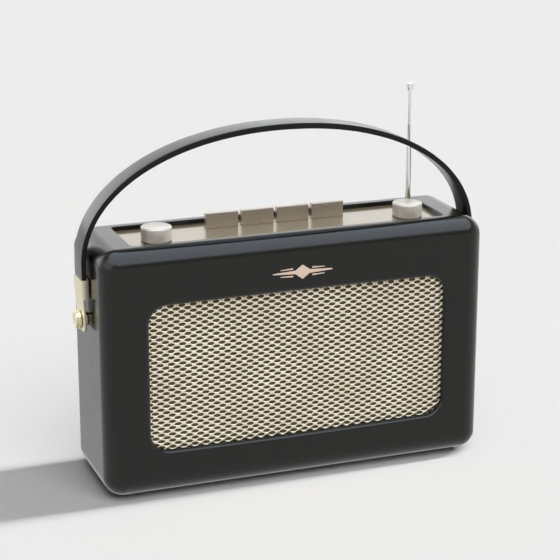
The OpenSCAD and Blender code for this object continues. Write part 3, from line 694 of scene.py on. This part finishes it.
def make_fitting(side, name, node):
    """Formed brass: a sleeve round the strap's end that runs down to a square tongue on the pivot."""
    in_x, out_x = box_mm("handle_fitting_right")[0][0], box_mm("handle_fitting_right")[1][0]
    low, top = box_mm("handle_fitting_right")[0][2], box_mm("handle_fitting_right")[1][2]
    strap_out, strap_foot = box_mm("handle_strap")[1][0], box_mm("handle_strap")[0][2]
    corner, thick, slack = 2.0, 1.8, 0.02

    def face_x(z):
        """The outer face leans in from the sleeve to the tongue."""
        t = min(1.0, max(0.0, (131.0 - z) / 19.0))
        return out_x - (3 * t * t - 2 * t ** 3)

    def section(x0, x1, hw, z, r):
        r = min(r, (x1 - x0) / 2 - 0.01)
        c = (x0 + x1) / 2
        return [(side * (c + a), b, z) for a, b in rounded_rect((x1 - x0) / 2, hw, r, 5)]

    sleeve = new_object(name, *loft([section(in_x, face_x(z), 9.1, z, 0.35)
                                     for z in np.linspace(top - 12.2, top, 14)]), "fitting_brass")
    inner = [section(strap_out - SIDE_THICK - slack, strap_out + slack, 8.5 + slack, z, 0.3)
             for z in (strap_foot, top + 1.6)]
    carve(sleeve, [new_object("c", *loft(inner), None)])
    cols = []
    heights = list(np.linspace(124.3, low + corner, 24))
    heights += [low + corner - corner * math.sin(math.radians(a)) for a in range(10, 91, 10)]
    for z in heights:
        drop = max(0.0, low + corner - z)
        hw = 8.5 - corner + math.sqrt(max(0.0, corner ** 2 - drop ** 2))
        cols.append(section(face_x(z) - thick, face_x(z), hw, z, 0.3))
    tongue = new_object("t", *loft(cols), "fitting_brass")
    carve(tongue, [prism_x(circle(3.05, 48), side * 124.0, side * 132.0, PIVOT_Z)])
    carve(sleeve, [tongue], "UNION")
    weld(sleeve, 2e-6)
    smooth(sleeve, 32.0)
    if not sleeve.data.materials:
        sleeve.data.materials.append(LOOK["fitting_brass"])
    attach(sleeve, "handle")
    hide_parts(node)


make_fitting(-1, "fitting_left", "handle_fitting_left")
make_fitting(1, "fitting_right", "handle_fitting_right")


def make_studs():
    """Turned pivot screws: a broad head with a raised ring and a dished face."""
    # (radius, distance from the cabinet's middle): threaded stem, shoulder, flange, ring, dished face
    profile = [(0.0001, 120.2), (1.8, 120.2), (1.9, 120.5), (1.9, 125.0), (3.0, 125.0), (3.0, 129.75),
               (5.5, 129.75), (5.8, 130.0), (5.8, 131.0), (5.6, 131.2), (4.9, 131.25), (4.9, 131.6),
               (5.1, 131.75), (5.1, 132.7), (4.8, 133.0), (4.3, 133.0), (4.0, 132.8), (2.0, 132.7),
               (0.0001, 132.65)]
    for side, name in ((-1, "pivot_screw_left"), (1, "pivot_screw_right")):
        shape = revolve(profile, lambda u, v, t, s=side: (s * t, u, PIVOT_Z + v), 72)
        head = new_object(name, *shape, "fitting_brass", 28.0)
        weld(head, 5e-7)
        smooth(head, 28.0)
        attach(head, "cabinet")
        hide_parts("pivot_studs")


make_studs()


def make_knobs():
    """Turned caps with a rounded edge, a faintly dished top and a recess underneath."""
    for node, body, look, (x, y) in (("volume_knob", "volume", "knob_left", VOLUME_AT),
                                     ("tuning_knob", "tuning", "knob_right", TUNING_AT)):
        (_, _, low), (right, _, top) = box_mm(node)
        r, e = round(right - x, 2), 1.0
        profile = [(0.0001, top - 0.12), (5.0, top - 0.09), (7.6, top - 0.02), (8.1, top)]
        profile += [(r - e + e * math.sin(math.radians(a)), top - e + e * math.cos(math.radians(a)))
                    for a in range(0, 91, 9)]
        profile += [(r, z) for z in np.linspace(top - e - 0.8, low + 0.25, 6)]
        profile += [(r - 0.07, low + 0.07), (r - 0.25, low), (7.75, low), (7.6, low + 0.15), (7.6, low + 2.6),
                    (3.0, low + 2.6), (3.0, top - 2.5), (0.0001, top - 2.5)]
        shape = revolve(profile, lambda u, v, t, cx=x, cy=y: (cx + u, cy + v, t), 128)
        knob = new_object("knob_" + body, *shape, look, 35.0)
        weld(knob, 5e-7)
        smooth(knob, 35.0)
        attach(knob, body)
        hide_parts(node)


make_knobs()

# ---------------------------------------------------------------- the CAD nodes that stay
ROUNDED = {
    "key_1": 0.35, "key_2": 0.35, "key_3": 0.35, "key_4": 0.35, "control_plate": 0.12, "emblem": 0.22,
    "rear_panel": 0.25, "battery_door": 0.35, "base_plate": 0.25,
    "feet": 0.25, "rear_panel_screws": 0.2, "control_nuts": 0.15, "aerial_tip": 0.2, "aerial_tube_1": 0.1,
    "aerial_tube_2": 0.1, "aerial_bush": 0.2, "battery_box": 0.25, "battery_cells": 0.3,
    "headphone_socket": 0.2, "dc_socket": 0.2,
}
slots = {s["node"]: s["material_slot"] for s in frame["record"]["subparts"]}
for node, obj in frame["nodes"].items():
    look = NODE_LOOK.get(node, SLOT_LOOK[slots[node]])
    obj.data.materials.clear()
    obj.data.materials.append(LOOK[look])
    weld_mod = obj.modifiers.new("weld", "WELD")
    weld_mod.merge_threshold = 2e-6
    if node in ROUNDED:
        m = obj.modifiers.new("edge", "BEVEL")
        m.width, m.segments, m.limit_method = ROUNDED[node] * MM, 3, "ANGLE"
        m.angle_limit = math.radians(40)
        m.harden_normals = False
    m = obj.modifiers.new("shade", "WEIGHTED_NORMAL")
    m.keep_sharp, m.weight = False, 50


# ---------------------------------------------------------------- floor and light
FLOOR_ALBEDO = 0.632
FLOOR_GLOW = 0.84


def make_floor():
    s = 8.0
    mesh = bpy.data.meshes.new("floor")
    mesh.from_pydata([(-s, -s, 0), (s, -s, 0), (s, s, 0), (-s, s, 0)], [], [(0, 1, 2, 3)])
    floor = bpy.data.objects.new("floor", mesh)
    scene.collection.objects.link(floor)
    m = Nodes("floor")
    m.set(Base_Color=(FLOOR_ALBEDO, FLOOR_ALBEDO, FLOOR_ALBEDO, 1.0), Roughness=0.9,
          Specular_IOR_Level=0.0)
    mesh.materials.append(m.mat)
    floor.visible_glossy = False


def make_sky():
    """A studio dome, fixed in the room: soft boxes overhead and to the left, a lit wall behind and
    a dim front."""
    world = bpy.data.worlds.new("studio")
    world.use_nodes = True
    tree = world.node_tree
    coord = tree.nodes.new("ShaderNodeTexCoord")

    def toward(axis):
        n = tree.nodes.new("ShaderNodeVectorMath")
        n.operation = "DOT_PRODUCT"
        tree.links.new(coord.outputs["Generated"], n.inputs[0])
        n.inputs[1].default_value = Vector(axis).normalized()
        return n.outputs["Value"]

    def fade(value, lo, hi, a=0.0, b=1.0):
        n = tree.nodes.new("ShaderNodeMapRange")
        n.interpolation_type = "SMOOTHSTEP"
        tree.links.new(value, n.inputs["Value"])
        for socket, v in zip(("From Min", "From Max", "To Min", "To Max"), (lo, hi, a, b)):
            n.inputs[socket].default_value = v
        return n.outputs["Result"]

    def join(op, a, b):
        n = tree.nodes.new("ShaderNodeMath")
        n.operation = op
        for socket, v in zip(n.inputs, (a, b)):
            if isinstance(v, float):
                socket.default_value = v
            else:
                tree.links.new(v, socket)
        return n.outputs["Value"]

    def soft_box(axis, outer, inner, strength):
        """A round patch of light that fades between two angles from its axis, in degrees."""
        return fade(toward(axis), math.cos(math.radians(outer)), math.cos(math.radians(inner)),
                    0.0, strength)

    overhead = join("MAXIMUM", soft_box((0.06, -0.10, 1.0), 44, 38, 1.90),
                    soft_box((-0.55, -0.25, 1.0), 30, 16, 1.90))
    overhead = join("MAXIMUM", overhead, soft_box((-0.8, -0.12, 0.6), 34, 14, 1.1))
    low = fade(toward((0, 0, 1)), math.sin(math.radians(21)), math.sin(math.radians(30)), 1.0, 0.0)
    wall = join("ADD", fade(toward((0.15, 1, 0)), 0.35, 0.75, 0.36, 1.08),
                fade(toward((-0.6, 1, 0)), 0.80, 0.97, 0.0, 0.5))
    upper = join("ADD", join("ADD", overhead, join("MULTIPLY", wall, low)), 0.50)
    above = fade(toward((0, 0, 1)), -0.01, 0.01)
    below = join("MULTIPLY", fade(toward((0, 0, 1)), -0.01, 0.01, 1.0, 0.0), FLOOR_GLOW)
    total = join("ADD", join("MULTIPLY", upper, above), below)
    background = tree.nodes["Background"]
    background.inputs["Color"].default_value = (1.0, 1.0, 1.0, 1.0)
    tree.links.new(total, background.inputs["Strength"])
    scene.world = world
    world.cycles_visibility.diffuse = False


def lamp(name, kind, colour, place):
    """A light at place that shines at the origin."""
    data = bpy.data.lights.new(name, kind)
    data.color = colour
    obj = bpy.data.objects.new(name, data)
    scene.collection.objects.link(obj)
    obj.location = place
    obj.rotation_mode = "QUATERNION"
    obj.rotation_quaternion = (-Vector(place)).to_track_quat("-Z", "Y")
    obj.visible_camera = False
    return obj


make_floor()
make_sky()
keys = []
for degrees, energy in ((30, 1.85), (45, 1.05), (62, 0.55)):
    keys.append(lamp("key_%d" % degrees, "SUN", (1.0, 1.0, 1.0),
                     (math.cos(math.radians(degrees)), 0.0, math.sin(math.radians(degrees)))))
    keys[-1].data.energy, keys[-1].data.angle = energy, math.radians(5)
fill = lamp("fill", "SUN", (1.0, 1.0, 1.0), (0.0, -0.6, 0.8))
fill.data.energy, fill.data.angle = 1.6, math.radians(50)
ambient = lamp("ambient", "SUN", (1.0, 1.0, 1.0), (0.4, 0.0, 0.92))
ambient.data.energy, ambient.data.angle = 0.84, math.radians(140)
for sun in keys + [fill, ambient]:
    sun.visible_glossy = False
tint = lamp("overhead_tint", "AREA", (0.0, 0.45, 1.0), (0.1, -0.2, 2.0))
tint.data.shape, tint.data.size, tint.data.size_y = "RECTANGLE", 3.0, 3.0
tint.data.energy = 0.6 * math.pi * 9.0
tint.visible_diffuse = False
